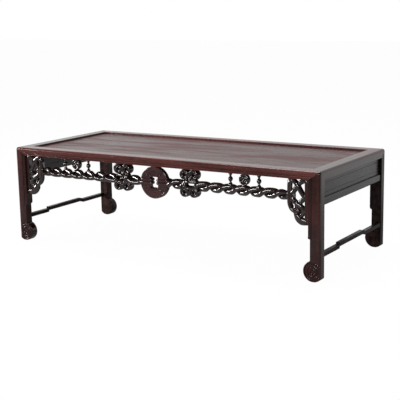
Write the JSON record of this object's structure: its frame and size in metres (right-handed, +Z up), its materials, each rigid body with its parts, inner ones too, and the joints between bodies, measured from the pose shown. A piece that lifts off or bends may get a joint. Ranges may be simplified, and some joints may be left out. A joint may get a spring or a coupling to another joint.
{
  "type": "kang table",
  "caption": "Low rectangular hardwood table with a mitred top frame, scroll feet, panelled ends and an openwork rope apron with knots and a pierced disc at the front.",
  "frame": {"origin": "on the floor under the middle of the table", "axes": "+Z up, X along the length, the carved front faces -Y"},
  "size_m": [0.92, 0.391, 0.26],
  "materials": {
    "frame_wood": "dark red-brown hardwood, waxed to a soft gloss",
    "panel_wood": "dark red-brown hardwood, satin, grain along the length",
    "carving_wood": "near-black hardwood carving, glossy on the high parts",
    "board_wood": "dark brown hardwood, satin",
    "inner_wood": "plain unpolished hardwood"
  },
  "bodies": {
    "root": {"top_frame_front": "frame_wood", "top_frame_rear": "frame_wood", "top_frame_left": "frame_wood", "top_frame_right": "frame_wood", "top_panel": "panel_wood", "batten_left": "inner_wood", "batten_middle": "inner_wood", "batten_right": "inner_wood", "leg_front_left": "frame_wood", "leg_front_right": "frame_wood", "leg_rear_left": "frame_wood", "leg_rear_right": "frame_wood", "end_panel_left": "board_wood", "end_panel_right": "board_wood", "end_rail_left": "board_wood", "end_rail_right": "board_wood", "end_stretcher_left": "board_wood", "end_stretcher_right": "board_wood", "rear_panel": "board_wood", "rear_rail": "board_wood", "spandrel_left": "carving_wood", "spandrel_right": "carving_wood", "rope_outer_left": "carving_wood", "rope_outer_right": "carving_wood", "rope_inner_left": "carving_wood", "rope_inner_right": "carving_wood", "knot_left": "carving_wood", "knot_right": "carving_wood", "disc_ornament": "carving_wood", "strut_outer_left": "carving_wood", "strut_inner_left": "carving_wood", "strut_inner_right": "carving_wood", "strut_outer_right": "carving_wood", "boss_left": "carving_wood", "boss_right": "carving_wood", "frame_pins": "inner_wood"}
  },
  "joints": []
}
